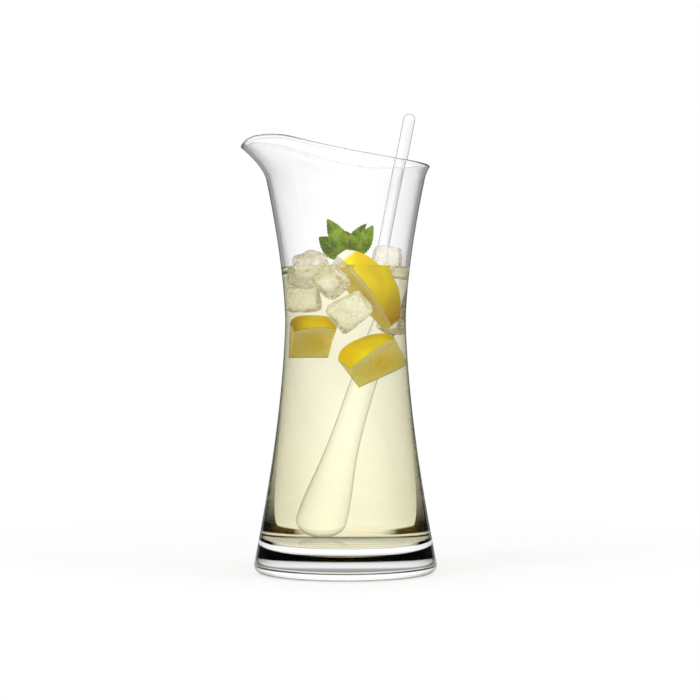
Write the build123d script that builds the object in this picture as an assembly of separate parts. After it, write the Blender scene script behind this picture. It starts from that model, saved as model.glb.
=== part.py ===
from build123d import *
import os
from math import acos, cos, degrees, hypot, pi, radians, sin

# Glass jug: it stands on z = 0, and its spout points along -X. Lengths are in millimetres.
base_radius = 57.9          # outer radius that the wall's curve has at the table
base_edge = 5.3             # rounding of the bottom's outer edge
waist_radius = 37.4         # narrowest outer radius
waist_height = 157.0
belly_power = 1.6           # how fast the wall spreads below the waist
neck_radius = 49.4          # outer radius of the round neck at neck_height
neck_height = 245.0
flare_power = 1.55          # how fast the wall spreads above the waist
wall_rim = 2.4              # glass thickness from the waist to the rim
wall_base = 5.0             # glass thickness where the wall meets the floor
floor_height = 18.0         # thickness of the solid glass base
floor_corner = 6.5          # rounding of the inside corner
shoulder_height = 205.0     # the round body ends here, and the drawn mouth starts

# Mouth: the rim is cut on a bent slant, and the spout is drawn out of the round neck
rim_height = 258.0          # rim above the axis
rim_slope = 0.197           # fall of the rim towards +X there, in mm for each mm
rim_curve = 0.0016          # bend of the rim, in mm for each square mm away from the axis
rim_round = wall_rim / 3    # rounding of the rim's two edges
lip_reach = 1.8             # the rim's small outward turn
lip_depth = 8.0             # how far below the rim that turn starts
spout_reach = 12.2          # how far the tip stands out of the round neck
spout_depth = 21.0          # how far below the tip the spout starts
spout_growth = 1.7          # how fast it leaves the round
spout_focus = 14.0          # larger makes the spout narrower
slant_end = 33.0            # where the rim's slant turns into the crest, behind the tip
crest_back = 14.0           # the rim's crest, behind the tip
crest_dip = 3.9             # the crest below the slant's own line
tip_drop = 4.05             # the tip below the crest
tip_fall = 0.75             # slope of the rim at the tip
mouth_spare = 5.0           # height left above the crest, which the slant cuts off
section_pitch = 6.3         # height between two sections of the mouth, about
section_points = 24

# Stirrer: a glass rod that swells to a drop at its foot and leans on the neck's wall
rod_radius = 3.75
rod_proud = 29.7            # how far its top stands above the middle of the rim
drop_radius = 11.0
drop_taper = [(36.0, 7.8), (90.0, 5.4)]   # distance up the rod and its radius there
taper_length = 170.0        # the swelling ends this far up the rod
foot_x = -10.3
foot_y = 13.0
lean_height = 245.0         # height where the rod comes nearest to the wall
lean_gap = 0.6              # clearance there
lean_angle = 40.0           # direction of that place, from +X towards +Y

# Served drink: the pieces in it are placed by their height above its surface
fill_height = 189.0
fit_gap = 0.3               # clearance of the drink in the jug, and of the stirrer's foot on its floor
cavity_gap = 0.4            # clearance of each piece in the drink

ice_edge = 3.0
ice_draft = 5.0             # slope of a cube's sides, as it leaves its tray
# size of the cube, place of its middle, turns about X, Y and Z
ice_places = [
    (20.0, (25.7, 3.9, 3.8), (1.0, 8.0, 8.0)),
    (20.0, (-20.7, -11.3, -1.0), (24.0, -7.0, 40.0)),
    (20.0, (1.7, -21.8, -28.0), (21.0, 52.0, -7.0)),
    (15.0, (-7.4, -24.7, -8.2), (23.0, 47.0, 26.0)),
    (16.0, (22.7, 9.0, -33.0), (17.0, 8.0, 29.0)),
    (13.0, (10.7, 6.0, -11.0), (-9.0, 17.0, 32.0)),
    (13.0, (-25.0, -3.0, -18.0), (12.0, 0.0, 15.0)),
]

lemon_length = 35.0         # half the length of the lemon
lemon_radius = 27.5
lemon_rind = 3.2            # rind and pith together
lemon_share = 45.0          # angle of one wedge
flesh_gap = 0.2             # clearance between the flesh and its rind
# half the length of the wedge, middle of its sharp edge, direction along it, direction of its rind
lemon_places = [
    (26.0, (3.6, -2.8, -18.3), (0.58, 0.04, -0.82), (0.60, -0.70, 0.39)),
    (12.0, (-15.9, 0.2, -56.8), (1.0, -0.05, 0.0), (-0.02, -0.40, 0.92)),
    (16.0, (18.5, -1.1, -68.2), (0.83, 0.26, 0.49), (-0.29, -0.55, 0.78)),
]

stem_radius = 1.3
stem_foot = -8.0
stem_top = 9.5
stem_x = 2.0
stem_y = -1.0
leaf_thickness = 0.7
leaf_curl = 45.0            # radius that a leaf curls to
leaf_gap = 0.4              # clearance between a leaf and the stem
leaf_belly = 0.42           # widest place of a leaf, as a share of its length
# length, width, height of its foot, direction from +X towards +Y, rise, roll about its own length
leaf_places = [
    (22.0, 14.0, 6.0, 192.0, 37.0, 80.0),
    (23.0, 12.0, 9.5, 165.0, 62.0, 95.0),
    (17.0, 12.0, 9.0, 264.0, 60.0, 0.0),
    (20.0, 12.0, 9.5, 42.0, 67.0, -80.0),
    (25.0, 12.0, 6.5, 343.0, 48.0, -95.0),
]


# Jug

def neck_round(z):
    """Outer radius of the round body at height z."""
    if z < waist_height:
        fall = (waist_height - z) / waist_height
        return waist_radius + (base_radius - waist_radius) * fall ** belly_power
    rise = (z - waist_height) / (neck_height - waist_height)
    return waist_radius + (neck_radius - waist_radius) * rise ** flare_power


def hollow_round(z):
    """Inner radius of the round body at height z, where the wall thickens towards the floor."""
    fall = max(0.0, waist_height - z) / (waist_height - floor_height)
    return neck_round(z) - wall_rim - (wall_base - wall_rim) * fall ** 1.5


def rim_line(x):
    """Height of the slanted rim at x."""
    return rim_height - rim_slope * x + rim_curve * x ** 2


tip_reach = spout_reach + neck_round(rim_height + tip_drop)
crest_height = rim_line(crest_back - tip_reach) - crest_dip
tip_height = crest_height - tip_drop
spout_root = tip_height - spout_depth


def mouth_radius(z, turn, wall):
    """Radius of the drawn mouth at height z in the direction turn from +X, inside this much wall."""
    focus = ((1 - cos(turn)) / 2) ** spout_focus
    drawn = max(0.0, z - spout_root) / spout_depth
    spread = spout_reach * focus * spout_growth * drawn ** (spout_growth - 1) / spout_depth
    lip = min(1.2, max(0.0, z - rim_line(neck_radius * cos(turn)) + lip_depth) / lip_depth)
    outside = neck_round(z) + spout_reach * focus * drawn ** spout_growth + lip_reach * (1 - focus) * lip ** 2
    return outside - wall * hypot(1, spread)


def mouth_section(z, wall):
    """Closed outline of the mouth at height z, a circle as far up as the neck is round."""
    if z < min(spout_root, rim_line(neck_radius) - lip_depth):
        return Pos(0, 0, z) * Circle(mouth_radius(z, 0, wall))
    turns = [2 * pi * step / section_points for step in range(section_points)]
    radii = [mouth_radius(z, turn, wall) for turn in turns]
    points = [(radius * cos(turn), radius * sin(turn), z) for radius, turn in zip(radii, turns)]
    return make_face(Spline(points, periodic=True))


def mouth_block(wall):
    """Solid mouth from the shoulder to above the crest."""
    height = crest_height + mouth_spare - shoulder_height
    steps = round(height / section_pitch)
    return loft([mouth_section(shoulder_height + height * step / steps, wall) for step in range(steps + 1)])


def curve_up(radius_at, low, high, steps=9):
    """Profile curve of radius_at from height low to height high."""
    heights = [low + (high - low) * step / (steps - 1) for step in range(steps)]
    return Spline([(radius_at(z), 0, z) for z in heights])


def turned_block(radius_at, low, high, corner):
    """Solid of revolution under a profile curve, with its lower edge rounded."""
    side = curve_up(radius_at, low, high)
    top = Line(side @ 1, (0, 0, high))
    middle = Line((0, 0, high), (0, 0, low))
    block = revolve(make_face(Curve() + [side, top, middle, Line((0, 0, low), side @ 0)]), axis=Axis.Z)
    ring = block.edges().filter_by(GeomType.CIRCLE).sort_by(Axis.Z)[0]
    return fillet(ring, corner)


def hollow_block(gap, top):
    """Inside space of the round body from its floor to this top, drawn in by gap."""
    return turned_block(lambda z: hollow_round(z) - gap, floor_height + gap, top, floor_corner - gap)


def above_rim():
    """Everything above the rim: a bent slant that turns over the crest to the spout's tip."""
    reach = base_radius + neck_radius
    high = crest_height + reach
    far = -tip_reach - reach
    slant = [(x, 0, rim_line(x)) for x in (reach, neck_radius, 0, slant_end - tip_reach)]
    crest = (crest_back - tip_reach, 0, crest_height)
    tip = (-tip_reach, 0, tip_height)
    beyond = (-tip_reach - spout_reach, 0, tip_height - tip_fall * spout_reach)
    first = (-1, 0, rim_slope - 2 * rim_curve * reach)
    rim = Spline(slant + [crest, tip, beyond], tangents=[first, (-1, 0, -tip_fall)])
    frame = Polyline(beyond, (far, 0, beyond[2]), (far, 0, high), (reach, 0, high), slant[0])
    return extrude(make_face(Curve() + [rim, frame]), amount=reach, both=True)


def make_jug():
    body = turned_block(neck_round, 0, shoulder_height, base_edge) - hollow_block(0, shoulder_height)
    glass = body + (mouth_block(0) - mouth_block(wall_rim) - above_rim())
    high_edges = glass.edges().filter_by(lambda edge: edge.bounding_box().min.Z > shoulder_height + wall_rim)
    return fillet(high_edges.filter_by(lambda edge: edge.length > 3 * wall_rim), rim_round)


# Stirrer

def rod_line():
    """Middle of the drop and direction of the rod, from where it stands and where it leans."""
    foot = Vector(foot_x, foot_y, floor_height + fit_gap + drop_radius)
    turn = radians(lean_angle)
    across = hollow_round(lean_height) - rod_radius - lean_gap
    steep = hypot(1, (across - foot_x * cos(turn) - foot_y * sin(turn)) / (lean_height - foot.Z))
    radius = hollow_round(lean_height) - (rod_radius + lean_gap) * steep
    lean = Vector(radius * cos(turn), radius * sin(turn), lean_height)
    return foot, (lean - foot).normalized()


def stirrer_body(grow):
    """Rod with its drop, larger all round by grow."""
    foot, way = rod_line()
    length = (rim_height + rod_proud - foot.Z) / way.Z
    swell = drop_radius + grow
    slim = rod_radius + grow
    low = CenterArc((0, 0), swell, -90, 90)
    waypoints = [(swell, 0)] + [(radius + grow, up) for up, radius in drop_taper] + [(slim, taper_length)]
    taper = Spline(waypoints, tangents=[(0, 1), (0, 1)])
    top = CenterArc((0, length - rod_radius), slim, 0, 90)
    outline = Curve() + [low, taper, Line(taper @ 1, top @ 0), top, Line(top @ 1, low @ 0)]
    upright = Rot(90, 0, 0) * revolve(make_face(outline), axis=Axis.Y)
    return Plane(origin=foot, z_dir=way) * upright


# Ice, lemon and mint

def above_drink(place):
    """Point at a place that is given by its height above the drink's surface."""
    x, y, rise = place
    return (x, y, fill_height + rise)


def ice_cube(place, grow):
    """Cube from a tray, with sloping sides and round edges, larger all round by grow."""
    size, middle, turns = place
    side = size + 2 * grow
    block = Pos(0, 0, -side / 2) * extrude(Rectangle(side, side), amount=side, taper=ice_draft)
    return Location(above_drink(middle), turns) * fillet(block.edges(), ice_edge + grow)


def lemon_arc(half, inset):
    """Half outline of the lemon, drawn in by inset, between two cuts at half each way."""
    length = lemon_length - inset
    start = degrees(acos(half / length))
    return EllipticalCenterArc((0, 0), length, lemon_radius - inset, start_angle=start, arc_size=180 - 2 * start)


def lemon_turned(outline, place, sink):
    """Wedge swept about the lemon's length and set in its place, lowered by sink."""
    half, edge, along, rind = place
    wedge = Rot(90 - lemon_share / 2, 0, 0) * revolve(make_face(outline), Axis.X, revolution_arc=lemon_share)
    return Plane(origin=above_drink(edge), x_dir=along, z_dir=rind) * (Pos(0, 0, -sink) * wedge)


def lemon_peel(place):
    outer = lemon_arc(place[0], 0)
    inner = lemon_arc(place[0], lemon_rind)
    return lemon_turned(Curve() + [outer, Line(outer @ 1, inner @ 1), inner, Line(inner @ 0, outer @ 0)], place, 0)


def lemon_core(place, inset, spare, sink):
    """Wedge from its sharp edge to the outline drawn in by inset, longer by spare each way."""
    half = place[0] + spare
    arc = lemon_arc(half, inset)
    return lemon_turned(Curve() + [arc, Polyline(arc @ 1, (-half, 0), (half, 0), arc @ 0)], place, sink)


def lemon_flesh(place):
    return lemon_core(place, lemon_rind + flesh_gap, 0, 0)


def lemon_cavity(place):
    sink = cavity_gap / sin(radians(lemon_share / 2))
    return lemon_core(place, -cavity_gap - sink, cavity_gap, sink)


def mint_stem(grow):
    low = above_drink((stem_x, stem_y, stem_foot - grow))
    return Pos(low) * extrude(Circle(stem_radius + grow), amount=stem_top - stem_foot + 2 * grow)


def mint_leaf(place):
    """Pointed leaf that curls along its length and stands out of the stem."""
    length, width, height, turn, rise, roll = place
    belly = leaf_belly * length
    left = ThreePointArc((0, 0), (belly, width / 2), (length, 0))
    right = ThreePointArc((length, 0), (belly, -width / 2), (0, 0))
    blank = extrude(make_face(Curve() + [left, right]), amount=leaf_curl, both=True)
    curl = Cylinder(leaf_curl, 2 * width) - Cylinder(leaf_curl - leaf_thickness, 2 * width)
    leaf = blank & (Pos(0, 0, -leaf_curl) * Rot(90, 0, 0) * curl)
    foot = Pos(above_drink((stem_x, stem_y, height))) * Rot(0, 0, turn) * Pos(stem_radius + leaf_gap, 0, 0)
    return foot * Rot(0, -rise, 0) * Rot(roll, 0, 0) * leaf


# Drink: it fills the jug round the stirrer, the ice, the lemon and the mint

def make_drink():
    drink = hollow_block(fit_gap, fill_height) - stirrer_body(cavity_gap) - mint_stem(cavity_gap)
    for place in ice_places:
        drink -= ice_cube(place, cavity_gap)
    for place in lemon_places:
        drink -= lemon_cavity(place)
    return drink


nodes = {"jug": make_jug(), "stirrer": stirrer_body(0), "drink": make_drink(), "mint_stem": mint_stem(0)}
for number, place in enumerate(ice_places, 1):
    nodes[f"ice_cube_{number}"] = ice_cube(place, 0)
for number, place in enumerate(lemon_places, 1):
    nodes[f"lemon_peel_{number}"] = lemon_peel(place)
    nodes[f"lemon_flesh_{number}"] = lemon_flesh(place)
for number, place in enumerate(leaf_places, 1):
    nodes[f"mint_leaf_{number}"] = mint_leaf(place)

os.makedirs("parts", exist_ok=True)
for name, solid in nodes.items():
    export_step(solid, f"parts/{name}.step")
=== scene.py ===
import math
import bpy
import numpy as np
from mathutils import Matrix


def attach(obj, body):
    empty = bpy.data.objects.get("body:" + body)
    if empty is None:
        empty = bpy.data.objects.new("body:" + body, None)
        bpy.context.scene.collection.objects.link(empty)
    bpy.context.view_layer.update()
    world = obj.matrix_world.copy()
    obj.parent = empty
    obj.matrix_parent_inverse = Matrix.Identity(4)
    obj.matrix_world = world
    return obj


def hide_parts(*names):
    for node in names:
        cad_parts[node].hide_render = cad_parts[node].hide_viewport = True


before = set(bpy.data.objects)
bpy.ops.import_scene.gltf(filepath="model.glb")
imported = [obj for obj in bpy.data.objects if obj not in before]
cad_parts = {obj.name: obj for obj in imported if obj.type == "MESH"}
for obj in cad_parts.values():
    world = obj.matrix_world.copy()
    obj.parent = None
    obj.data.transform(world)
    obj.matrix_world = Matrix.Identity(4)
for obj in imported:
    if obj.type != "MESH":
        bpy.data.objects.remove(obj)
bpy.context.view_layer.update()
scene = bpy.context.scene
mm = 0.001
print("frame loaded")


# Meshes: each piece is a grid of points, rows by columns, worked out in millimetres

def placed(name, data):
    made = bpy.data.objects.new(name, data)
    scene.collection.objects.link(made)
    return made


def closedShell(name, rows, marks=None):
    # rows wrap round in their columns, and a pole at the middle of the first and the last row closes the ends
    count, around = rows.shape[:2]
    points = np.vstack([rows.reshape(-1, 3), rows[0].mean(0), rows[-1].mean(0)]) * mm
    low = np.arange(count - 1)[:, None] * around
    col = np.arange(around)[None, :]
    nxt = (col + 1) % around
    quads = np.stack([low + col, low + nxt, low + around + nxt, low + around + col], -1).reshape(-1, 4)
    first, last = count * around, count * around + 1
    ring, after, top = np.arange(around), (np.arange(around) + 1) % around, (count - 1) * around
    caps = np.vstack([np.stack([after, ring, np.full(around, first)], -1),
                      np.stack([top + ring, top + after, np.full(around, last)], -1)])
    triangles = np.vstack([quads[:, [0, 1, 2]], quads[:, [0, 2, 3]], caps])
    a, b, c = (points[triangles[:, k]] for k in range(3))
    if np.einsum("ij,ij->", a, np.cross(b, c)) < 0:   # signed volume: faces point outwards
        quads, caps = quads[:, ::-1], caps[:, ::-1]
    mesh = bpy.data.meshes.new(name)
    mesh.from_pydata(points.tolist(), [], quads.tolist() + caps.tolist())
    mesh.polygons.foreach_set("use_smooth", np.ones(len(mesh.polygons), bool))
    for mark, values in (marks or {}).items():
        ends = np.array([values[0].mean(), values[-1].mean()])
        layer = mesh.attributes.new(mark, "FLOAT", "POINT")
        layer.data.foreach_set("value", np.concatenate([values.ravel(), ends]).astype(np.float32))
    mesh.update()
    return placed(name, mesh)


def dress(piece, body, node, material):
    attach(piece, body)
    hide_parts(node)
    piece.data.materials.append(material)
    print("made", piece.name, len(piece.data.polygons), "faces")


def turnedRows(profile, around):
    # a profile of radius and height carried round the jug's axis
    turn = np.linspace(0, 2 * np.pi, around, endpoint=False)
    radius, height = profile[:, 0][:, None], profile[:, 1][:, None]
    return np.stack([radius * np.cos(turn), radius * np.sin(turn), height + 0 * turn], -1)


def arc(middle, radius, start, end, steps):
    # points of an arc between two angles in degrees
    angle = np.radians(np.linspace(start, end, steps))
    return np.stack([middle[0] + radius * np.cos(angle), middle[1] + radius * np.sin(angle)], -1)


def turnedBy(angles):
    # matrix of turns about X, then Y, then Z of the piece itself
    cx, cy, cz = np.cos(np.radians(angles))
    sx, sy, sz = np.sin(np.radians(angles))
    aboutX = np.array([[1, 0, 0], [0, cx, -sx], [0, sx, cx]])
    aboutY = np.array([[cy, 0, sy], [0, 1, 0], [-sy, 0, cy]])
    aboutZ = np.array([[cz, -sz, 0], [sz, cz, 0], [0, 0, 1]])
    return aboutX @ aboutY @ aboutZ


# Shaders

class Wire:   # one socket, so that sums on values are written as Python
    def __init__(self, paint, socket):
        self.paint, self.socket = paint, socket

    def sum(self, operation, first, second=0.0):
        return self.paint.node("ShaderNodeMath", {"operation": operation}, {0: first, 1: second})

    def __add__(self, other):
        return self.sum("ADD", self, other)

    def __sub__(self, other):
        return self.sum("SUBTRACT", self, other)

    def __rsub__(self, other):
        return self.sum("SUBTRACT", other, self)

    def __mul__(self, other):
        return self.sum("MULTIPLY", self, other)

    __radd__, __rmul__ = __add__, __mul__

    def __abs__(self):
        return self.sum("ABSOLUTE", self)

    def atLeast(self, limit):
        return self.sum("MAXIMUM", self, limit)

    def atMost(self, limit):
        return self.sum("MINIMUM", self, limit)

    def kept(self, high=1.0):   # held between 0 and a limit
        return self.paint.node("ShaderNodeClamp", None, {"Value": self, "Min": 0.0, "Max": high})

    def between(self, low, high):   # 0 below low, 1 above high, smooth in between
        return self.paint.node("ShaderNodeMapRange", {"interpolation_type": "SMOOTHSTEP"},
                               {"Value": self, "From Min": low, "From Max": high})


def opaque(colour):   # a plain colour gets its fourth number
    return colour if isinstance(colour, Wire) else (*colour, 1)


class Paint:   # the node tree of a material, or of the world if one is given
    def __init__(self, name=None, world=None):
        self.owner = world or bpy.data.materials.new(name)
        self.owner.use_nodes = True
        self.tree = self.owner.node_tree
        self.tree.nodes.clear()

    def node(self, kind, settings=None, sockets=None, out=0):
        made = self.tree.nodes.new(kind)
        for key, value in (settings or {}).items():
            setattr(made, key, value)
        for key, value in (sockets or {}).items():
            if isinstance(value, Wire):
                self.tree.links.new(value.socket, made.inputs[key])
            else:
                made.inputs[key].default_value = value
        return Wire(self, made.outputs[out])

    def place(self):
        return self.node("ShaderNodeTexCoord", out="Object")

    def axis(self, vector, name):
        return self.node("ShaderNodeSeparateXYZ", None, {0: vector}, out=name)

    def height(self):
        return self.axis(self.place(), "Z")

    def mark(self, name):
        return self.node("ShaderNodeAttribute", {"attribute_name": name}, out="Fac")

    def rays(self, name):   # 1 for rays of this kind, or a count of reflections
        return self.node("ShaderNodeLightPath", out=name)

    def facing(self):   # 0 where a surface faces the ray, 1 at its outline
        return self.node("ShaderNodeLayerWeight", None, {"Blend": 0.5}, out="Facing")

    def noise(self, scale, detail=3.0, rough=0.55):   # a piece's noise is given in this order
        return self.node("ShaderNodeTexNoise", None, {
            "Vector": self.place(), "Scale": scale, "Detail": detail, "Roughness": rough})

    def cells(self, feature, where, scale):
        return self.node("ShaderNodeTexVoronoi", {"feature": feature}, {"Vector": where, "Scale": scale})

    def bump(self, height, strength, distance):
        return self.node("ShaderNodeBump", None, {
            "Height": height, "Strength": strength, "Distance": distance})

    def blendColours(self, factor, low, high):   # 6 and 7 are a Mix node's colours, and 2 is its result
        return self.node("ShaderNodeMix", {"data_type": "RGBA"},
                         {0: factor, 6: opaque(low), 7: opaque(high)}, out=2)

    def shader(self, sockets):
        return self.node("ShaderNodeBsdfPrincipled", None, sockets)

    def mixed(self, factor, low, high):
        return self.node("ShaderNodeMixShader", None, {0: factor, 1: low, 2: high})

    def lightThrough(self, shader, colour):   # lamps shine through it with this tint, so its shadow is faint
        clear = self.node("ShaderNodeBsdfTransparent", None, {"Color": opaque(colour)})
        return self.mixed(self.rays("Is Shadow Ray"), shader, clear)

    def finish(self, surface, volume=None, end="ShaderNodeOutputMaterial"):
        sockets = {"Surface": surface}
        if volume:
            sockets["Volume"] = volume
        output = self.tree.nodes.new(end)
        for key, value in sockets.items():
            self.tree.links.new(value.socket, output.inputs[key])
        return self.owner


# Jug: the same curves as the solid, with a melted bead on its rim

jug = {"baseRadius": 57.9, "baseEdge": 5.3, "waistRadius": 37.4, "waistHeight": 157.0, "bellyPower": 1.6,
       "neckRadius": 49.4, "neckHeight": 245.0, "flarePower": 1.55, "wallRim": 2.4, "wallBase": 5.0,
       "wallPower": 1.5, "floorHeight": 18.0, "floorCorner": 6.5, "shoulder": 205.0, "rimHeight": 258.0,
       "rimSlope": 0.197, "rimCurve": 0.0016, "lipReach": 1.8, "lipDepth": 8.0, "lipMost": 1.2,
       "spoutReach": 12.2, "spoutDepth": 21.0, "spoutGrowth": 1.7, "spoutFocus": 14.0, "slantEnd": 33.0,
       "crestBack": 14.0, "crestDip": 3.9, "tipDrop": 4.05, "tipFall": 0.75, "pastTip": 2.0,
       "footLean": (0.0, 8.0), "wallLean": (24.0, 34.0), "bottomShare": (0.12, 0.97),
       "floorShare": (0.1, 0.97), "beadHeight": 0.32, "rimSearch": (235.0, 275.0), "halvings": 40,
       "around": 240, "footSteps": 9, "cornerSteps": 13, "levelSteps": 7, "outerSteps": 60, "innerSteps": 55,
       "mouthSteps": 40, "beadSteps": 11}


def neckRound(z):
    # waist radius plus a power of the distance from the waist
    fall = np.clip((jug["waistHeight"] - z) / jug["waistHeight"], 0, None)
    rise = np.clip((z - jug["waistHeight"]) / (jug["neckHeight"] - jug["waistHeight"]), 0, None)
    return (jug["waistRadius"] + (jug["baseRadius"] - jug["waistRadius"]) * fall ** jug["bellyPower"]
            + (jug["neckRadius"] - jug["waistRadius"]) * rise ** jug["flarePower"])


def hollowRound(z):
    # the outside less a wall that thickens towards the floor
    fall = np.clip(jug["waistHeight"] - z, 0, None) / (jug["waistHeight"] - jug["floorHeight"])
    return neckRound(z) - jug["wallRim"] - (jug["wallBase"] - jug["wallRim"]) * fall ** jug["wallPower"]


def slantAt(x):
    # the slanted rim: a line with a slight bend
    return jug["rimHeight"] - jug["rimSlope"] * x + jug["rimCurve"] * x ** 2


tipReach = float(jug["spoutReach"] + neckRound(np.array(jug["rimHeight"] + jug["tipDrop"])))
crestX, bendX = jug["crestBack"] - tipReach, jug["slantEnd"] - tipReach
crestHeight = slantAt(crestX) - jug["crestDip"]


def mouthRadius(z, turn, wall):
    # round neck plus the drawn spout, which grows with height, plus the small outward turn below the rim
    focus = ((1 - np.cos(turn)) / 2) ** jug["spoutFocus"]
    root = crestHeight - jug["tipDrop"] - jug["spoutDepth"]
    drawn = np.clip(z - root, 0, None) / jug["spoutDepth"]
    growth = jug["spoutGrowth"]
    spread = jug["spoutReach"] * focus * growth * drawn ** (growth - 1) / jug["spoutDepth"]
    rise = (z - slantAt(jug["neckRadius"] * np.cos(turn)) + jug["lipDepth"]) / jug["lipDepth"]
    lip = jug["lipReach"] * (1 - focus) * np.clip(rise, 0, jug["lipMost"]) ** 2
    outside = neckRound(z) + jug["spoutReach"] * focus * drawn ** growth + lip
    return outside - wall * np.hypot(1, spread)


def hermite(x, x0, x1, z0, z1, slope0, slope1):
    # cubic between two ends with given slopes
    t = (x - x0) / (x1 - x0)
    return ((2 * t ** 3 - 3 * t ** 2 + 1) * z0 + (t ** 3 - 2 * t ** 2 + t) * (x1 - x0) * slope0
            + (3 * t ** 2 - 2 * t ** 3) * z1 + (t ** 3 - t ** 2) * (x1 - x0) * slope1)


def rimLine(x):
    # the slant, then a cubic up to the crest and another down past the spout's tip
    bendSlope = 2 * jug["rimCurve"] * bendX - jug["rimSlope"]
    bend = hermite(x, bendX, crestX, slantAt(bendX), crestHeight, bendSlope, 0.0)
    beak = hermite(np.maximum(x, -tipReach - jug["pastTip"]), crestX, -tipReach,
                   crestHeight, crestHeight - jug["tipDrop"], 0.0, jug["tipFall"])
    return np.where(x > bendX, slantAt(x), np.where(x > crestX, bend, beak))


def rimHeightAt(turn, wall):
    # height where the wall meets the rim's line, by halving
    low, high = (np.full_like(turn, end) for end in jug["rimSearch"])
    for _ in range(jug["halvings"]):
        middle = (low + high) / 2
        above = middle > rimLine(mouthRadius(middle, turn, wall) * np.cos(turn))
        low, high = np.where(above, low, middle), np.where(above, middle, high)
    return (low + high) / 2


def roundedFoot(curve, lean, level, radius, grow, steps):
    # arc from a level face up to a wall, touching a curve that leans as it does between two heights
    low, high = lean
    angle = math.atan((curve(low) - curve(high)) / (high - low))
    middle = (curve(level + radius) - radius / math.cos(angle), level + radius)
    return arc(middle, radius + grow, -90, math.degrees(angle), steps)


def floorCorner(grow):
    # the rounding between the floor inside and the wall, larger by grow
    return roundedFoot(hollowRound, jug["wallLean"], jug["floorHeight"], jug["floorCorner"], grow,
                       jug["cornerSteps"])


def levelFace(share, radius, height):
    # points of a level face between two shares of its radius
    out = np.linspace(*share, jug["levelSteps"]) * radius
    return np.stack([out, np.full_like(out, height)], -1)


def makeJug():
    # the outside from the middle of the bottom up, a half turn over the rim, the inside down to the floor
    wall, shoulder = jug["wallRim"], jug["shoulder"]
    turn = np.linspace(0, 2 * np.pi, jug["around"], endpoint=False)
    foot = roundedFoot(neckRound, jug["footLean"], 0.0, jug["baseEdge"], 0.0, jug["footSteps"])
    bottom = levelFace(jug["bottomShare"], foot[0, 0], 0.0)
    wallUp = np.linspace(foot[-1, 1], shoulder, jug["outerSteps"])[1:]
    outer = np.vstack([bottom, foot, np.stack([neckRound(wallUp), wallUp], -1)])
    corner = floorCorner(0.0)[::-1]
    wallDown = np.linspace(shoulder, corner[0, 1], jug["innerSteps"])[:-1]
    floorFace = levelFace(jug["floorShare"], corner[-1, 0], jug["floorHeight"])[::-1]
    inner = np.vstack([np.stack([hollowRound(wallDown), wallDown], -1), corner, floorFace])
    share = np.linspace(0, 1, jug["mouthSteps"])[1:, None]
    bead = wall * jug["beadHeight"]   # how far the bead stands above the ends of the two walls
    upZ = shoulder + share * (rimHeightAt(turn, 0.0) - bead - shoulder)
    downZ = (shoulder + share * (rimHeightAt(turn, wall) - bead - shoulder))[::-1]
    upR, downR = mouthRadius(upZ, turn, 0.0), mouthRadius(downZ, turn, wall)
    swing = np.linspace(0, np.pi, jug["beadSteps"])[1:-1, None]
    beadR = (upR[-1] + downR[0]) / 2 + (upR[-1] - downR[0]) / 2 * np.cos(swing)
    beadZ = (upZ[-1] + downZ[0]) / 2 + (upZ[-1] - downZ[0]) / 2 * np.cos(swing) + bead * np.sin(swing)
    radius, height = np.vstack([upR, beadR, downR]), np.vstack([upZ, beadZ, downZ])
    mouth = np.stack([radius * np.cos(turn), radius * np.sin(turn), height], -1)
    rows = np.vstack([turnedRows(outer, jug["around"]), mouth, turnedRows(inner, jug["around"])])
    order = np.arange(len(rows))[:, None] + 0 * turn
    beadStart = len(outer) + len(upR)

    def rowsFrom(start, count):   # 1 on these rows
        return ((order >= start) & (order < start + count)) * 1.0

    return closedShell("jugGlass", rows, {"inside": rowsFrom(beadStart + 1, len(rows)),
                                          "foot": rowsFrom(len(bottom), len(foot)),
                                          "rim": rowsFrom(beadStart, len(beadR))})


# a pair is where a smooth step starts and ends: in millimetres of height for Foot, Top and Fade,
# in metres towards the spout for tip, and in facing, 0 to the eye and 1 at the outline, for the others
# the greys, the shade and amber colours and the bands below are painted shade on the glass
glass = {"index": 1.5, "paintedShade": (0.0006, 0.0006, 0.0004), "lampTint": (0.94, 0.94, 0.94),
         "grey": 0.20, "baseGrey": 0.4, "baseTop": (12.0, 22.0), "outline": (0.84, 1.0), "outlineGrey": 0.4,
         "footClear": 0.85, "rimGrey": 0.15, "tip": (0.061, 0.0645), "tipTurn": (0.2, 0.7),
         "floorTop": (18.2, 24.0), "floorShare": 0.6, "floorTint": (0.98, 0.90, 0.66),
         "lowTop": (11.0, 12.0), "lowTurn": (0.3, 0.9), "lowGrey": 0.6,
         "ringFoot": (11.5, 12.3), "ringFall": 1.4, "ringTop": (14.6, 15.4), "ringClimb": 4.4,
         "ringGrey": 0.996, "ringEnds": (0.7, 0.95), "ringLoss": 0.2,
         "wedgeFoot": (26.9, 27.6), "wedgeHeight": 30.2, "wedgeSlope": 5.5, "wedgeBend": 0.4,
         "wedgeClimb": 650.0, "wedgeSoft": 1.2, "wedgeTurn": (0.08, 0.22), "wedgeFade": (32.0, 70.0),
         "wedgeLoss": 0.5, "upperFade": (70.0, 120.0), "upperLoss": 0.3, "wedgeEnds": (0.8, 0.95),
         "endLoss": 0.3, "underHeight": 19.2, "underClimb": 3.6, "underReach": 1.3, "underTurn": (0.3, 0.5),
         "oliveHeight": 26.3, "oliveFall": 2.4, "oliveReach": 0.7, "oliveTurn": (0.1, 0.35),
         "oliveFaint": 0.5, "oliveMore": 0.48, "amberTurn": (0.35, 0.6), "amber": (0.014, 0.005, 0.0003),
         "amberDark": (0.0008, 0.0008, 0.0001)}


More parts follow.
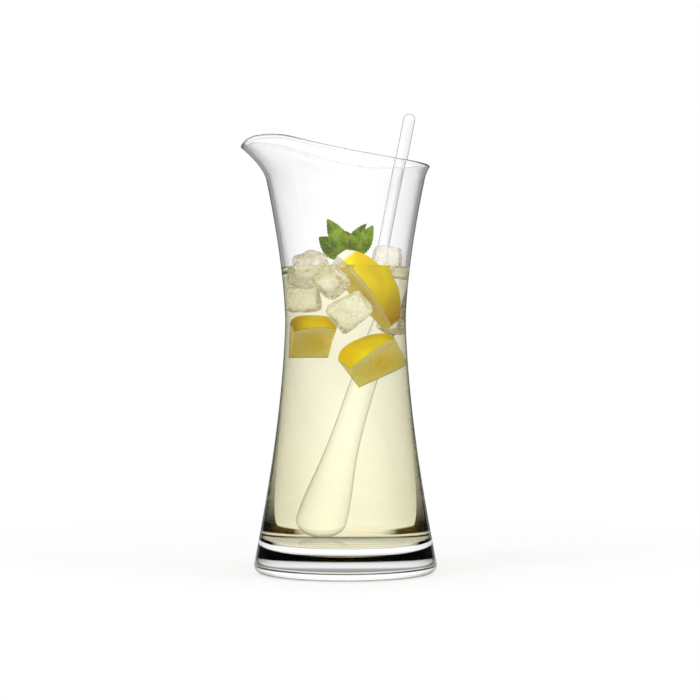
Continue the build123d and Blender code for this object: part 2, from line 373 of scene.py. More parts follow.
def jugGlass():
    # clear, with painted shade: greyer towards its outline and more so in the solid base; thin dark lines
    # painted
    # where the base throws light aside: a wedge at each side that narrows upwards with the wall, an olive
    # line over the floor, a wedge under it and a ring; painted grey on the rim's bead and a dark spot at the
    # spout's tip
    paint = Paint("jugGlass")
    facing, inside = paint.facing(), paint.mark("inside")
    height = paint.height() * (1 / mm)
    front = (1 - inside) * (1 - paint.node("ShaderNodeNewGeometry", out="Backfacing"))

    def stripe(middle, reach):   # 1 near a height and 0 beyond reach, both in millimetres
        return (1 - abs(height - middle) * (1 / reach)).between(0.0, 0.5)

    # painted shade: an amber-dark wedge at each side of the base, narrowing upwards
    beyond = (facing - glass["wedgeBend"]).atLeast(0.0)
    wedgeTop = glass["wedgeHeight"] + facing * glass["wedgeSlope"] + beyond * beyond * glass["wedgeClimb"]
    wedge = (wedgeTop - height).between(0.0, glass["wedgeSoft"])
    wedge = wedge * height.between(*glass["wedgeFoot"]) * facing.between(*glass["wedgeTurn"])
    faded = height.between(*glass["wedgeFade"]) * glass["wedgeLoss"]
    wedge = wedge * (1.0 - faded - height.between(*glass["upperFade"]) * glass["upperLoss"])
    wedge = wedge * (1 - facing.between(*glass["wedgeEnds"]) * glass["endLoss"])
    # painted shade: a dark wedge under the olive line
    under = stripe(glass["underHeight"] + facing * glass["underClimb"], glass["underReach"])
    under = under * facing.between(*glass["underTurn"])
    # painted shade: an olive line over the floor
    oliveShade = stripe(glass["oliveHeight"] - facing * glass["oliveFall"], glass["oliveReach"])
    oliveShade = oliveShade * (glass["oliveFaint"] + facing.between(*glass["oliveTurn"]) * glass["oliveMore"])
    # painted shade: a black ring low in the base's front wall
    ring = (height + facing * glass["ringFall"]).between(*glass["ringFoot"])
    ring = ring * (1 - (height - facing * glass["ringClimb"]).between(*glass["ringTop"]))
    ring = ring * (glass["ringGrey"] - facing.between(*glass["ringEnds"]) * glass["ringLoss"])
    # painted shade: greyer sides below the ring
    low = facing.between(*glass["lowTurn"]) * (1 - height.between(*glass["lowTop"])) * glass["lowGrey"]
    # painted shade: a dark spot at the spout's tip
    spoutward = 0.0 - paint.axis(paint.place(), "X")
    tip = spoutward.between(*glass["tip"]) * facing.between(*glass["tipTurn"])
    wall = 1 - inside * (1 - height.between(*glass["floorTop"]))   # 0 on the floor inside
    thick = 1 - height.between(*glass["baseTop"])
    # painted shade: grey towards the outline, more in the solid base, less on the foot, and on the rim's bead
    grey = facing * (glass["grey"] + glass["baseGrey"] * thick)
    grey = grey + facing.between(*glass["outline"]) * glass["outlineGrey"]
    grey = grey * (1 - paint.mark("foot") * glass["footClear"]) * wall
    grey = grey + (low + ring + under) * front + paint.mark("rim") * glass["rimGrey"] + tip
    colour = paint.blendColours(grey.kept(), (1.0, 1.0, 1.0), glass["paintedShade"])
    colour = paint.blendColours((1 - wall) * glass["floorShare"], colour, glass["floorTint"])
    amber = paint.blendColours(facing.between(*glass["amberTurn"]), glass["amber"], glass["amberDark"])
    colour = paint.blendColours(((wedge + oliveShade) * front).kept(), colour, amber)
    clear = paint.shader({
        "Base Color": colour, "Roughness": 0.0, "IOR": glass["index"], "Transmission Weight": 1.0})
    return paint.finish(paint.lightThrough(clear, glass["lampTint"]))


dress(makeJug(), "jug", "jug", jugGlass())


# Stirrer: a rod that swells to a drop,
# r = rod + swell * (exp(-(t / dropShare) ^ 2) + (1 - t) ^ taperPower) / 2;
# the pairs of its glass are in facing for outline and glowTurn, and in metres of height for the others

stirrer = {"rodRadius": 3.75, "dropRadius": 11.0, "taperLength": 170.0, "dropShare": 0.2, "taperPower": 1.15,
           "rodProud": 29.7, "foot": (-10.3, 13.0), "gap": 0.3, "leanHeight": 245.0, "leanGap": 0.6,
           "leanAngle": 40.0, "around": 64, "poleAngle": 84, "dropSteps": 16, "taperSteps": 70,
           "rodSteps": 13, "topSteps": 10, "index": 1.22, "grey": 0.3, "outline": (0.4, 0.9), "wetGrey": 0.4,
           "dryGrey": 0.55, "dryFrom": (0.186, 0.192), "paintedShade": (0.02, 0.02, 0.015), "glowTurn": (0.0, 0.7),
           "glowEnd": (0.17, 0.186), "glow": (0.036, 0.036, 0.03), "lampTint": (0.95, 0.95, 0.95)}


def stirrerAxis():
    # the line from the drop's middle to where the rod leans on the neck's inner wall
    turn = math.radians(stirrer["leanAngle"])
    foot = np.array([*stirrer["foot"], jug["floorHeight"] + stirrer["gap"] + stirrer["dropRadius"]])
    wall = float(hollowRound(np.array(stirrer["leanHeight"])))
    reach = stirrer["rodRadius"] + stirrer["leanGap"]
    steep = math.hypot(1, (wall - reach - foot[0] * math.cos(turn) - foot[1] * math.sin(turn))
                       / (stirrer["leanHeight"] - foot[2]))
    radius = wall - reach * steep
    lean = np.array([radius * math.cos(turn), radius * math.sin(turn), stirrer["leanHeight"]])
    return foot, (lean - foot) / np.linalg.norm(lean - foot)


def makeStirrer():
    # a profile of radius and length carried round the leaning line
    foot, way = stirrerAxis()
    length = (jug["rimHeight"] + stirrer["rodProud"] - foot[2]) / way[2]
    rod, drop = stirrer["rodRadius"], stirrer["dropRadius"]
    low = arc((0, 0), drop, -stirrer["poleAngle"], 0, stirrer["dropSteps"])
    t = np.linspace(0, 1, stirrer["taperSteps"])[1:]
    swell = (np.exp(-(t / stirrer["dropShare"]) ** 2) + (1 - t) ** stirrer["taperPower"]) / 2
    taper = np.stack([rod + (drop - rod) * swell, t * stirrer["taperLength"]], -1)
    up = np.linspace(stirrer["taperLength"], length - rod, stirrer["rodSteps"])[1:]
    straight = np.stack([np.full_like(up, rod), up], -1)
    top = arc((0, length - rod), rod, 0, stirrer["poleAngle"], stirrer["topSteps"])[1:]
    profile = np.vstack([low, taper, straight, top])
    side = np.cross((0, 1, 0), way)
    side = side / np.linalg.norm(side)
    other = np.cross(way, side)
    turn = np.linspace(0, 2 * np.pi, stirrer["around"], endpoint=False)
    ring = np.cos(turn)[:, None] * side + np.sin(turn)[:, None] * other
    rows = foot + profile[:, 1][:, None, None] * way + profile[:, 0][:, None, None] * ring
    return closedShell("stirrerGlass", rows)


def rodGlass():
    # clear with a painted grey shade at its outline, greyer above the drink; its low index lets it show in
    # the drink as faintly as real glass does, and a faint painted glow there makes up for the drink that the
    # rod takes the place of
    paint = Paint("rodGlass")
    facing, height = paint.facing(), paint.height()
    dry = height.between(*stirrer["dryFrom"])
    # painted shade: a grey outline, greyer above the drink
    edge = facing.between(*stirrer["outline"]) * (stirrer["wetGrey"] + stirrer["dryGrey"] * dry)
    colour = paint.blendColours(facing * stirrer["grey"] + edge, (1.0, 1.0, 1.0), stirrer["paintedShade"])
    # painted light: a faint glow below the drink's surface, most where the rod faces the eye
    bright = (1 - facing.between(*stirrer["glowTurn"])) * (1 - height.between(*stirrer["glowEnd"]))
    glow = paint.blendColours(bright, (0.0, 0.0, 0.0), stirrer["glow"])
    clear = paint.shader({
        "Base Color": colour, "Roughness": 0.0, "IOR": stirrer["index"], "Transmission Weight": 1.0,
        "Emission Color": glow, "Emission Strength": 1.0})
    return paint.finish(paint.lightThrough(clear, stirrer["lampTint"]))


dress(makeStirrer(), "stirrer", "stirrer", rodGlass())


# Drink: fills the jug to its surface, with a meniscus that climbs the wall

drink = {"fill": 189.0, "sink": 0.1, "meniscus": 0.4, "climb": 3.0, "around": 200, "wallSteps": 60,
         "nearWall": 8.0, "nearSteps": 14, "farSteps": 10, "poleRadius": 1.0, "cornerRows": 9,
         "absorb": (0.964, 0.927, 0.60), "density": 10.0, "index": 1.34, "pale": (1.0, 1.0, 0.95),
         "yellow": (1.0, 0.98, 0.80), "yellowTurn": (0.0, 0.3), "oliveShade": (0.05, 0.045, 0.0), "oliveMost": 0.9,
         "lampTint": (0.96, 0.95, 0.86)}


def makeDrink():
    # the hollow's profile, a hair larger, and a surface that rises by an exponential towards the wall
    sink, near = drink["sink"], drink["nearWall"]
    corner = floorCorner(sink)
    bottom = levelFace(jug["floorShare"], corner[0, 0], jug["floorHeight"] - sink)
    top = drink["fill"] + drink["meniscus"]
    wallUp = np.linspace(corner[-1, 1], top, drink["wallSteps"])[1:]
    rim = float(hollowRound(np.array(top))) + sink
    nearWall = np.linspace(0, near, drink["nearSteps"])[1:] ** 1.5 / near ** 0.5   # steps that grow inwards
    far = np.linspace(near, rim - drink["poleRadius"], drink["farSteps"])[1:]
    back = np.concatenate([nearWall, far])
    surface = np.stack([rim - back, drink["fill"] + drink["meniscus"] * np.exp(-back / drink["climb"])], -1)
    profile = np.vstack([bottom, corner, np.stack([hollowRound(wallUp) + sink, wallUp], -1), surface])
    side = np.ones((len(profile), drink["around"]))   # 0 on the surface and the bottom
    side[-len(surface) - 1:] = side[:len(bottom) + drink["cornerRows"]] = 0
    return closedShell("drinkBody", turnedRows(profile, drink["around"]), {"side": side})


def drinkLiquid():
    # clear liquid that takes a pale yellow from the depth of it, and a painted olive shade towards its
    # outline
    paint = Paint("drinkLiquid")
    facing, side = paint.facing(), paint.mark("side")
    yellow = paint.blendColours(facing.between(*drink["yellowTurn"]) * side, drink["pale"], drink["yellow"])
    # painted shade: olive, darker towards the outline of its sides
    colour = paint.blendColours((facing * side).kept(drink["oliveMost"]), yellow, drink["oliveShade"])
    surface = paint.shader({
        "Base Color": colour, "Roughness": 0.0, "IOR": drink["index"], "Transmission Weight": 1.0})
    depth = paint.node("ShaderNodeVolumeAbsorption", None, {
        "Color": opaque(drink["absorb"]), "Density": drink["density"]})
    return paint.finish(paint.lightThrough(surface, drink["lampTint"]), depth)


dress(makeDrink(), "contents", "drink", drinkLiquid())


# Ice: a rounded cube, r = 1 / (|x|^p + |y|^p + |z|^p)^(1/p), melted by slow waves

ice = {"power": 7.0, "draft": 0.085, "melt": 0.035, "waves": (5.1, 4.3, 4.7), "shifts": (1, 2, -1),
       "rows": 60, "around": 96, "cloudNoise": (110.0, 6.0, 0.7), "cloud": (0.40, 0.66), "cloudShare": 0.55,
       "crackScale": 150.0, "crack": (0.0, 0.09), "crackShare": 0.3, "haze": 0.12, "dimples": (190.0, 4.0),
       "waviness": (60.0, 2.0), "wavinessShare": 1.5, "bumpStrength": 0.6, "bumpDepth": 0.002,
       "darkTurn": (0.3, 1.0), "darkMost": 0.4, "bright": (1.0, 0.99, 0.94), "paintedShade": (0.30, 0.29, 0.20),
       "clearIndex": 1.2, "clearRough": 0.04, "milk": (0.96, 0.92, 0.76), "milkIndex": 1.12,
       "milkRough": 0.3, "milkThrough": 0.4, "lampTint": (0.85, 0.85, 0.82)}
icePlaces = [   # size, middle above the surface, turns, growth along its axes where melt water froze on it
    (20.0, (25.7, 3.9, 3.8), (1.0, 8.0, 8.0), (0.0, 0.0, 0.0)),
    (20.0, (-20.7, -11.3, -1.0), (24.0, -7.0, 40.0), (0.0, 0.0, 0.0)),
    (20.0, (1.7, -21.8, -28.0), (21.0, 52.0, -7.0), (0.0, 0.0, 2.5)),
    (15.0, (-7.4, -24.7, -8.2), (23.0, 47.0, 26.0), (2.0, 0.0, -2.0)),
    (16.0, (22.7, 9.0, -33.0), (17.0, 8.0, 29.0), (0.0, 0.0, 0.0)),
    (13.0, (10.7, 6.0, -11.0), (-9.0, 17.0, 32.0), (0.0, 0.0, 0.0)),
    (13.0, (-25.0, -3.0, -18.0), (12.0, 0.0, 15.0), (7.5, 0.0, -3.0))]


def inDrink(middle):   # a place given from the surface of the drink
    return np.array([middle[0], middle[1], drink["fill"] + middle[2]])


def makeIce(number, size, middle, turns, growth):
    # the rounded cube on a grid of directions, drawn in by the melt and narrower towards its top
    up = np.linspace(0, np.pi, ice["rows"])[1:-1, None]
    turn = np.linspace(0, 2 * np.pi, ice["around"], endpoint=False)[None, :]
    way = np.stack([np.sin(up) * np.cos(turn), np.sin(up) * np.sin(turn), np.cos(up) + 0 * turn], -1)
    reach = (np.abs(way) ** ice["power"]).sum(-1) ** (-1 / ice["power"])
    point = way * reach[..., None]
    wave = np.sin(point * ice["waves"] + number * np.array(ice["shifts"])).prod(-1)
    point = point * (1 - ice["melt"] * (1 + wave))[..., None]
    point[..., :2] *= (1 - ice["draft"] * (point[..., 2:] + 1))
    point = point * (size + np.abs(growth)) / 2 + np.array(growth) / 2
    return closedShell(f"iceCube{number}", point @ turnedBy(turns).T + inDrink(middle))


def wetIce():
    # clear ice with a cloudy heart, cracks and a melted, dimpled skin, and painted grey shade towards its
    # outline
    paint = Paint("wetIce")
    cloud = paint.noise(*ice["cloudNoise"]).between(*ice["cloud"])
    crack = 1 - paint.cells("DISTANCE_TO_EDGE", paint.place(), ice["crackScale"]).between(*ice["crack"])
    skin = paint.noise(*ice["dimples"]) + paint.noise(*ice["waviness"]) * ice["wavinessShare"]
    height = paint.bump(skin, ice["bumpStrength"], ice["bumpDepth"])
    # painted shade: darker towards the outline
    paintedShade = paint.facing().between(*ice["darkTurn"]) * ice["darkMost"]
    tint = paint.blendColours(paintedShade, ice["bright"], ice["paintedShade"])
    clear = paint.shader({
        "Base Color": tint, "Roughness": ice["clearRough"], "IOR": ice["clearIndex"],
        "Transmission Weight": 1.0, "Normal": height})
    milky = paint.shader({
        "Base Color": opaque(ice["milk"]), "Roughness": ice["milkRough"], "IOR": ice["milkIndex"],
        "Transmission Weight": ice["milkThrough"], "Normal": height})
    white = cloud * ice["cloudShare"] + crack * ice["crackShare"] + ice["haze"]
    return paint.finish(paint.lightThrough(paint.mixed(white, clear, milky), ice["lampTint"]))


iceMaterial = wetIce()
for number, place in enumerate(icePlaces, 1):
    dress(makeIce(number, *place), "contents", f"ice_cube_{number}", iceMaterial)


# Lemon: wedges of a lemon, with a rind and pith shell and the flesh inside it

lemon = {"length": 35.0, "radius": 27.5, "rind": 3.2, "share": 45.0, "gap": 0.2, "fleshShort": 0.05,
         "core": 0.3, "endRound": 0.32, "endPower": 5.0, "heart": 0.62, "bareSoft": 0.08, "ochrePower": 1.5,
         "rows": 80, "arcSteps": 40, "sideSteps": 24, "index": 1.1, "bareWhite": (1.0, 0.96, 0.82)}
lemonPlaces = [   # half length, middle of the sharp edge above the surface, way along it, way to the rind, cuts: by how much they shorten the sharp edge at its start and its end, narrow the wedge towards its end and bare its pith, and how far the rind turns ochre towards its end, or towards its start where negative
    # cuts: by how much they shorten the sharp edge at its start and its end, narrow the wedge towards its end
    # and bare its pith, and how ripe the rind is towards its end, or towards its start where negative
    (26.0, (3.6, -2.8, -18.3), (0.58, 0.04, -0.82), (0.60, -0.70, 0.39), (0.1, 0.0, 0.1, 0.2, 0.9)),
    (12.0, (-15.9, 0.2, -56.8), (1.0, -0.05, 0.0), (-0.02, -0.40, 0.92), (0.0, 0.35, 0.2, 0.0, -0.9)),
    (16.0, (18.5, -1.1, -68.2), (0.83, 0.26, 0.49), (-0.29, -0.55, 0.78), (0.1, 0.0, 0.55, 0.0, 0.0))]


def wedgeFrame(along, rind):
    # the wedge's own axes: along its sharp edge, across, and out to the middle of its rind
    up = np.array(rind) / np.linalg.norm(rind)
    ahead = np.array(along) - up * np.dot(along, up)
    ahead = ahead / np.linalg.norm(ahead)
    return np.stack([ahead, np.cross(up, ahead), up])


def wedgeRows(half, inset, low, cuts):
    # stations along the wedge: a loop round the sector between a low radius and the outline less an inset;
    # towards both ends the loops shrink by a power of the length, most at the rind, about a middle line
    slantStart, slantEnd, narrowing, bareEnd, ochreAmount = cuts
    part = np.sin(np.linspace(-np.pi / 2, np.pi / 2, lemon["rows"]))
    x = part * half
    outline = (lemon["radius"] - inset) * np.sqrt(1 - (x / (lemon["length"] - inset)) ** 2)
    whole = lemon["radius"] * np.sqrt(1 - (x / lemon["length"]) ** 2)[:, None]
    swing = math.radians(lemon["share"] / 2)
    over = np.linspace(-swing, swing, lemon["arcSteps"])
    t = np.linspace(0, 1, lemon["sideSteps"])[1:-1]
    angle = np.concatenate([over, np.full_like(t, swing), over[::-1], np.full_like(t, -swing)])
    depth = np.concatenate([np.zeros_like(over), t, np.ones_like(over), 1 - t])
    radius = outline[:, None] + (low(outline) - outline)[:, None] * depth
    part = part[:, None] + 0 * radius
    narrow = 1 - narrowing * ((1 + part) / 2) ** 2
    shrink = 1 - lemon["endRound"] * np.abs(part) ** lemon["endPower"] * radius / whole
    centre = lemon["heart"] * whole
    y = radius * np.sin(angle * narrow) * shrink
    z = centre + (radius * np.cos(angle * narrow) - centre) * shrink
    slant = np.where(part < 0, slantStart, slantEnd) * (1 - radius / whole)
    rows = np.stack([half * part * (1 - slant), y, z], -1)
    return rows, {"depth": depth + 0 * part, "turn": angle / swing + 0 * part, "end": part,
                  "bare": np.clip((bareEnd - 1 - part) / lemon["bareSoft"], 0, 1),
                  "ochreTone": np.clip(part * ochreAmount, 0, 1) ** lemon["ochrePower"]}


rindLook = {"pithNoise": 420.0, "pithWander": 0.2, "pith": (0.10, 0.34), "poreScale": 900.0,
            "pore": (0.1, 0.5), "patchNoise": (55.0, 4.0), "patch": (0.36, 0.7),
            "deepYellow": (0.88, 0.62, 0.002), "yellow": (1.0, 0.82, 0.003), "ochreTone": (0.50, 0.25, 0.0),
            "cream": (1.0, 0.86, 0.40), "grain": 700.0, "bumpStrength": 0.3, "bumpDepth": 0.0004,
            "rough": 0.36, "soft": 0.2, "softReach": (0.004, 0.003, 0.0006)}


def rindPeel():
    # waxy yellow rind with pores outside, ochre towards one end, cream pith at the cut
    paint = Paint("rindPeel")
    wander = (paint.noise(rindLook["pithNoise"]) - 0.5) * rindLook["pithWander"]
    pith = (paint.mark("depth") + wander).between(*rindLook["pith"])
    pores = paint.cells("F1", paint.place(), rindLook["poreScale"]).between(*rindLook["pore"])
    patch = paint.noise(*rindLook["patchNoise"]).between(*rindLook["patch"])
    yellow = paint.blendColours(patch, rindLook["deepYellow"], rindLook["yellow"])
    yellow = paint.blendColours(paint.mark("ochreTone"), yellow, rindLook["ochreTone"])
    colour = paint.blendColours(pith, yellow, rindLook["cream"])
    colour = paint.blendColours(paint.mark("bare"), colour, lemon["bareWhite"])
    relief = pores * (1 - pith) + paint.noise(rindLook["grain"]) * pith
    return paint.finish(paint.shader({
        "Base Color": colour, "Roughness": rindLook["rough"], "IOR": lemon["index"],
        "Normal": paint.bump(relief, rindLook["bumpStrength"], rindLook["bumpDepth"]),
        "Subsurface Weight": rindLook["soft"], "Subsurface Radius": rindLook["softReach"],
        "Subsurface Scale": 1.0}))


fleshLook = {"sacStretch": (26.0, 3.0, 2.0), "sac": (0.0, 0.3), "skinNoise": 300.0, "skinWander": 0.04,
             "skin": (0.02, 0.09), "patchNoise": (120.0, 3.0), "patch": (0.3, 0.7), "patchShare": 0.25,
             "sacShare": 0.2, "heartShare": 0.55, "pale": (1.0, 0.85, 0.32), "deep": (0.80, 0.58, 0.0),
             "bubbleScale": 330.0, "bubble": (0.08, 0.16), "bubbleNoise": 90.0, "bubbleSome": (0.5, 0.6),
             "bubbleShare": 0.7, "bubbleWhite": (1.0, 0.98, 0.85), "skinColour": (1.0, 0.80, 0.24),
             "bumpStrength": 0.15, "bumpDepth": 0.0003, "rough": 0.3, "soft": 0.6,
             "softReach": (0.008, 0.006, 0.0015)}


def juicyFlesh():
    # long juice sacs that run out from the sharp edge, under a smooth skin, with small bubbles on it
    paint = Paint("juicyFlesh")
    depth, end = paint.mark("depth"), paint.mark("end")
    along, deep, about = fleshLook["sacStretch"]
    stretched = paint.node("ShaderNodeCombineXYZ", None, {
        "X": paint.mark("along") * along, "Y": depth * deep, "Z": paint.mark("turn") * about})
    sacs = paint.cells("DISTANCE_TO_EDGE", stretched, 1.0).between(*fleshLook["sac"])
    wander = (paint.noise(fleshLook["skinNoise"]) - 0.5) * fleshLook["skinWander"]
    skin = (depth + wander).between(*fleshLook["skin"])
    patch = paint.noise(*fleshLook["patchNoise"]).between(*fleshLook["patch"])
    heart = (1 - end * end) * depth * (1 - depth) * 4.0   # 1 in the middle of a cut face
    ochreTone = patch * fleshLook["patchShare"] + sacs * fleshLook["sacShare"] + heart * fleshLook["heartShare"]
    pulp = paint.blendColours(ochreTone, fleshLook["pale"], fleshLook["deep"])
    bubble = 1 - paint.cells("F1", paint.place(), fleshLook["bubbleScale"]).between(*fleshLook["bubble"])
    some = paint.noise(fleshLook["bubbleNoise"]).between(*fleshLook["bubbleSome"])
    pulp = paint.blendColours(bubble * some * fleshLook["bubbleShare"], pulp, fleshLook["bubbleWhite"])
    colour = paint.blendColours(skin, fleshLook["skinColour"], pulp)
    colour = paint.blendColours(paint.mark("bare"), colour, lemon["bareWhite"])
    return paint.finish(paint.shader({
        "Base Color": colour, "Roughness": fleshLook["rough"], "IOR": lemon["index"],
        "Normal": paint.bump(sacs, fleshLook["bumpStrength"], fleshLook["bumpDepth"]),
        "Subsurface Weight": fleshLook["soft"], "Subsurface Radius": fleshLook["softReach"],
        "Subsurface Scale": 1.0}))


peelMaterial, fleshMaterial = rindPeel(), juicyFlesh()
for number, (half, middle, along, rind, cuts) in enumerate(lemonPlaces, 1):
    origin, axes = inDrink(middle), wedgeFrame(along, rind)
    rows, marks = wedgeRows(half, 0.0, lambda outline: outline - lemon["rind"], cuts)
    peel = closedShell(f"lemonPeel{number}", rows @ axes + origin, marks)
    dress(peel, "contents", f"lemon_peel_{number}", peelMaterial)
    rows, marks = wedgeRows(half - lemon["fleshShort"], lemon["rind"] + lemon["gap"],
                            lambda outline: lemon["core"] + 0 * outline, cuts)
    marks["along"] = rows[..., 0] / lemon["length"]
    flesh = closedShell(f"lemonFlesh{number}", rows @ axes + origin, marks)
    dress(flesh, "contents", f"lemon_flesh_{number}", fleshMaterial)


# Mint: leaves with a toothed edge and raised quilting between the veins, on a short stem

mint = {"stemRadius": 1.3, "stemFoot": -8.0, "stemTop": 9.5, "stem": (2.0, -1.0), "stemSquare": 0.08,
        "stemRound": 0.75, "stemEnd": 0.5, "stemAround": 40, "stemSteps": 24, "gap": 0.4, "thickness": 0.7,
        "edgeThin": 0.02, "edgeWidth": 0.15, "leafPower": 0.85, "curl": 45.0, "teeth": 6, "toothDepth": 0.17,
        "veins": 7, "veinSlant": 1.6, "quilt": 0.5, "trough": 0.9, "upturn": 1.2, "rows": 90, "endGap": 0.004,
        "acrossSteps": 31}
leafPlaces = [   # length, width, height of its foot, direction, rise, roll
    (22.0, 14.0, 6.0, 192.0, 37.0, 80.0), (23.0, 12.0, 9.5, 165.0, 62.0, 95.0),
    (17.0, 12.0, 9.0, 264.0, 60.0, 0.0), (20.0, 12.0, 9.5, 42.0, 67.0, -80.0),
    (25.0, 12.0, 6.5, 343.0, 48.0, -95.0)]


def makeLeaf(number, length, width, height, turn, rise, roll):
    # half width = sine of a power of the length with saw teeth; the blade bends on a circle,
    # dips along its rib, turns up at its edges and bulges between its veins
    t = np.linspace(mint["endGap"], 1 - mint["endGap"], mint["rows"])
    across = np.linspace(-1, 1, mint["acrossSteps"])
    upper = np.concatenate([np.ones(len(across)), -np.ones(len(across) - 2)])
    across = np.concatenate([across, across[-2:0:-1]])
    tooth = 1 - mint["toothDepth"] * ((t * mint["teeth"] * 2) % 1.0)
    half = width / 2 * np.sin(np.pi * t ** mint["leafPower"]) ** mint["leafPower"] * tooth + mint["edgeWidth"]
    x = (t * length)[:, None] + 0 * across
    y = half[:, None] * across
    bend = np.sqrt(mint["curl"] ** 2 - x ** 2) - mint["curl"]
    swell = np.sin(np.pi * t)[:, None]
    vein = np.abs(np.sin(np.pi * (mint["veins"] * t[:, None] - mint["veinSlant"] * np.abs(across))))
    quilt = mint["quilt"] * vein * (1 - across ** 2) * swell
    trough = (mint["upturn"] * across ** 2 - mint["trough"] * (1 - np.abs(across)) ** 3) * swell
    thick = mint["thickness"] / 2 * np.sqrt(np.clip(1 - across ** 2, mint["edgeThin"], 1)) * upper
    rows = np.stack([x, y, bend + quilt + trough - mint["thickness"] / 2 + thick], -1)
    tilt = turnedBy((0, 0, turn)) @ turnedBy((0, -rise, 0)) @ turnedBy((roll, 0, 0))
    start = turnedBy((0, 0, turn)) @ np.array([mint["stemRadius"] + mint["gap"], 0, 0])
    foot = inDrink((*mint["stem"], height)) + start
    marks = {"along": t[:, None] + 0 * across, "across": across + 0 * x}
    return closedShell(f"mintLeaf{number}", rows @ tilt.T + foot, marks)


leafLook = {"vein": (0.0, 0.3), "veinShare": 0.42, "rib": (0.0, 0.07), "ribShare": 0.63,
            "patchNoise": (110.0, 5.0), "patch": (0.35, 0.65), "deep": (0.10, 0.165, 0.002),
            "fresh": (0.31, 0.44, 0.03), "pale": (0.40, 0.50, 0.16), "grain": 900.0, "grainHeight": 0.6,
            "veinDepth": 0.5, "bumpStrength": 0.5, "bumpDepth": 0.0006, "rough": 0.5, "index": 1.15,
            "soft": 0.2, "softReach": (0.001, 0.002, 0.0005)}


def leafGreen():
    # fresh green with deeper patches, paler at the veins and the rib
    paint = Paint("leafGreen")
    wide = abs(paint.mark("across"))
    phase = (paint.mark("along") * mint["veins"] - wide * mint["veinSlant"]) * math.pi
    vein = 1 - abs(phase.sum("SINE", phase)).between(*leafLook["vein"])
    rib = 1 - wide.between(*leafLook["rib"])
    patch = paint.noise(*leafLook["patchNoise"]).between(*leafLook["patch"])
    blade = paint.blendColours(patch, leafLook["deep"], leafLook["fresh"])
    pale = vein * leafLook["veinShare"] + rib * leafLook["ribShare"]
    colour = paint.blendColours(pale, blade, leafLook["pale"])
    relief = paint.noise(leafLook["grain"]) * leafLook["grainHeight"] - vein * leafLook["veinDepth"] - rib
    return paint.finish(paint.shader({
        "Base Color": colour, "Roughness": leafLook["rough"], "IOR": leafLook["index"],
        "Normal": paint.bump(relief, leafLook["bumpStrength"], leafLook["bumpDepth"]),
        "Subsurface Weight": leafLook["soft"], "Subsurface Radius": leafLook["softReach"],
        "Subsurface Scale": 1.0}))


leafMaterial = leafGreen()
for number, place in enumerate(leafPlaces, 1):
    dress(makeLeaf(number, *place), "contents", f"mint_leaf_{number}", leafMaterial)


def makeStem():
    # a square stem with rounded corners, as mint has: the radius falls by a cosine of four times the turn
    turn = np.linspace(0, 2 * np.pi, mint["stemAround"], endpoint=False)
    radius = mint["stemRadius"] * (1 - mint["stemSquare"] * (1 - np.cos(4 * turn)))
    rise = np.linspace(mint["stemFoot"], mint["stemTop"], mint["stemSteps"])[:, None]
    straight = (mint["stemTop"] - mint["stemFoot"]) / 2 - mint["stemRound"]
    ending = np.clip((np.abs(rise - rise.mean()) - straight) / mint["stemRound"], 0, 1)
    radius = radius * (1 - mint["stemEnd"] * ending ** 2)
    rows = np.stack([radius * np.cos(turn), radius * np.sin(turn), rise + 0 * radius], -1)
    return closedShell("mintStem", rows + inDrink((*mint["stem"], 0.0)))


stemLook = {"streakNoise": (300.0, 4.0), "streak": (0.3, 0.7), "deep": (0.16, 0.28, 0.06),
            "fresh": (0.28, 0.40, 0.10), "rough": 0.55, "bumpStrength": 0.3, "bumpDepth": 0.0004}


def stemGreen():
    # two greens in streaks
    paint = Paint("stemGreen")
    streak = paint.noise(*stemLook["streakNoise"])
    colour = paint.blendColours(streak.between(*stemLook["streak"]), stemLook["deep"], stemLook["fresh"])
    return paint.finish(paint.shader({
        "Base Color": colour, "Roughness": stemLook["rough"],
        "Normal": paint.bump(streak, stemLook["bumpStrength"], stemLook["bumpDepth"])}))


dress(makeStem(), "contents", "mint_stem", stemGreen())


# Stage: pale floor, white surroundings, soft lamps and the camera; the strengths are 1 for white,
# the floor's level is a hair below the base, so that the two faces don't coincide

studio = {"floorReach": 60.0, "floorLevel": -0.0002, "floorNoise": 12.0, "floorDark": (0.86, 0.86, 0.86),
          "floorPale": (0.88, 0.88, 0.88), "away": (0.08, 0.5), "whiteNear": 0.6, "whiteAway": 0.4,
          "floorThrough": 1.1, "dim": 0.03, "floorDimmed": 0.65, "white": 1.0, "skyLight": 0.75,
          "skyTop": 1.5, "topFrom": (0.45, 0.8), "skyThrough": 1.14, "skyGrey": 0.5,
          "greyLow": (0.078, 0.1), "greyLowShare": 0.3, "greyHigh": (0.15, 0.6), "greyHighShare": 0.6,
          "dimmedBelow": (0.1, 0.16), "skyDimmed": 0.7}
lamps = [   # name, place, size, power
    ("keyLamp", (-0.9, -0.8, 1.0), (0.5, 0.9), 10.0),
    ("fillLamp", (1.0, -0.5, 0.7), (0.4, 0.9), 5.0),
    ("lowLamp", (0.2, -1.3, 0.12), (0.9, 0.2), 5.0)]
lampTarget = (0, 0, 0.15)
camera = {"height": 0.138, "distance": 1.29, "side": 0.0028, "width": 0.434, "sensor": 36.0,
          "clipStart": 0.01}


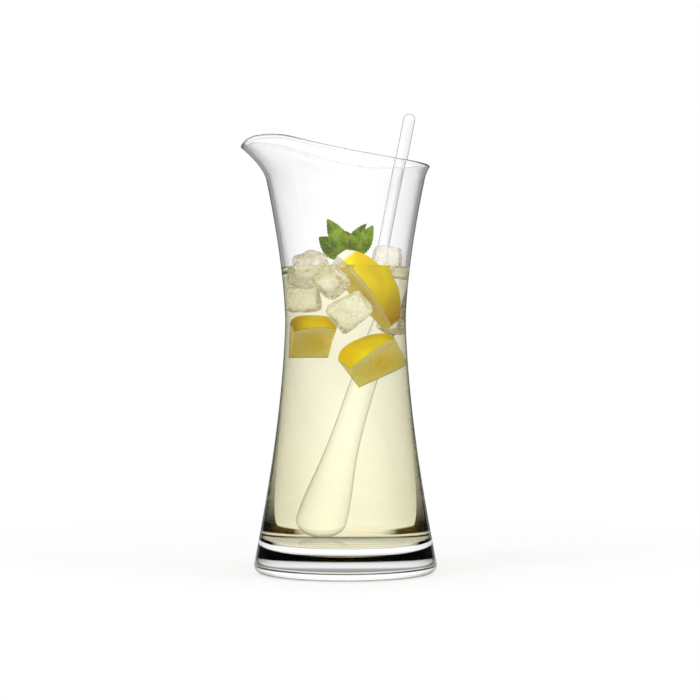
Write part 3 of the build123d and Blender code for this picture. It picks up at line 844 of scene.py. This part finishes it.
def makeFloor():
    # matt and pale with the object's shadow near it, plain white further out where it is looked at,
    # a little brighter through the glass, and dim for light that was reflected on its way
    reach, level = studio["floorReach"], studio["floorLevel"]
    mesh = bpy.data.meshes.new("studioFloor")
    corners = [(-reach, -reach, level), (reach, -reach, level), (reach, reach, level), (-reach, reach, level)]
    mesh.from_pydata(corners, [], [(0, 1, 2, 3)])
    piece = placed("studioFloor", mesh)
    paint = Paint("paleFloor")

    def glow(strength):
        return paint.node("ShaderNodeEmission", None, {"Color": (1, 1, 1, 1), "Strength": strength})

    colour = paint.blendColours(paint.noise(studio["floorNoise"]), studio["floorDark"], studio["floorPale"])
    matt = paint.node("ShaderNodeBsdfDiffuse", None, {"Color": colour})
    length = paint.node("ShaderNodeVectorMath", {"operation": "LENGTH"}, {0: paint.place()}, out="Value")
    away = length.between(*studio["away"])
    seen = paint.rays("Is Camera Ray") * (studio["whiteNear"] + studio["whiteAway"] * away)
    shown = paint.mixed(seen, matt, glow(studio["white"]))
    shown = paint.mixed(paint.rays("Is Transmission Ray"), shown, glow(studio["floorThrough"]))
    dimmed = paint.rays("Glossy Depth").atMost(1.0) * away * studio["floorDimmed"]
    mesh.materials.append(paint.finish(paint.mixed(dimmed, shown, glow(studio["dim"]))))


def makeWorld():
    # white where it is looked at, a little greyer upwards through glass; dim with a bright top in reflections
    # and, near the horizon, mostly so for light that was reflected on its way through the glass
    world = bpy.data.worlds.new("studio")
    scene.world = world
    paint = Paint(world=world)

    def sky(level):
        return paint.node("ShaderNodeBackground", None, {"Color": (1, 1, 1, 1), "Strength": level})

    up = paint.axis(paint.node("ShaderNodeTexCoord", out="Generated"), "Z")
    seen = paint.mixed(paint.rays("Is Camera Ray"), sky(studio["skyLight"]), sky(studio["white"]))
    mirrored = paint.mixed(up.between(*studio["topFrom"]), sky(studio["dim"]), sky(studio["skyTop"]))
    grey = up.between(*studio["greyLow"]) * studio["greyLowShare"]
    grey = grey + up.between(*studio["greyHigh"]) * studio["greyHighShare"]
    through = paint.mixed(grey, sky(studio["skyThrough"]), sky(studio["skyGrey"]))
    direct = paint.mixed(paint.rays("Is Glossy Ray"), seen, mirrored)
    passed = paint.mixed(paint.rays("Is Transmission Ray"), direct, through)
    level = 1 - up.between(*studio["dimmedBelow"])
    dimmed = paint.rays("Glossy Depth").atMost(1.0) * level * studio["skyDimmed"]
    paint.finish(paint.mixed(dimmed, passed, mirrored), end="ShaderNodeOutputWorld")


def addLamp(name, place, size, power):
    data = bpy.data.lights.new(name, "AREA")
    data.shape = "RECTANGLE"
    data.size, data.size_y = size
    data.energy = power
    lamp = placed(name, data)
    lamp.location = place
    lamp.visible_glossy = lamp.visible_transmission = False
    aim = np.array(lampTarget) - np.array(place)
    tilt, turn = math.atan2(math.hypot(aim[0], aim[1]), -aim[2]), math.atan2(aim[1], aim[0])
    lamp.rotation_euler = (tilt, 0, turn - math.pi / 2)


def addCamera():
    lens = bpy.data.cameras.new("camera")
    lens.lens = camera["sensor"] / (camera["width"] / camera["distance"])
    lens.clip_start = camera["clipStart"]
    viewer = placed("camera", lens)
    viewer.location = (camera["side"], -camera["distance"], camera["height"])
    viewer.rotation_euler = (math.pi / 2, 0, 0)
    scene.camera = viewer


makeFloor()
makeWorld()
for lamp in lamps:
    addLamp(*lamp)
addCamera()
scene.view_settings.view_transform = "Standard"
scene.cycles.max_bounces = 24
scene.cycles.transmission_bounces = 20
scene.cycles.glossy_bounces = 8
scene.cycles.transparent_max_bounces = 24
scene.cycles.caustics_refractive = True
scene.cycles.use_denoising = True
print("stage set")
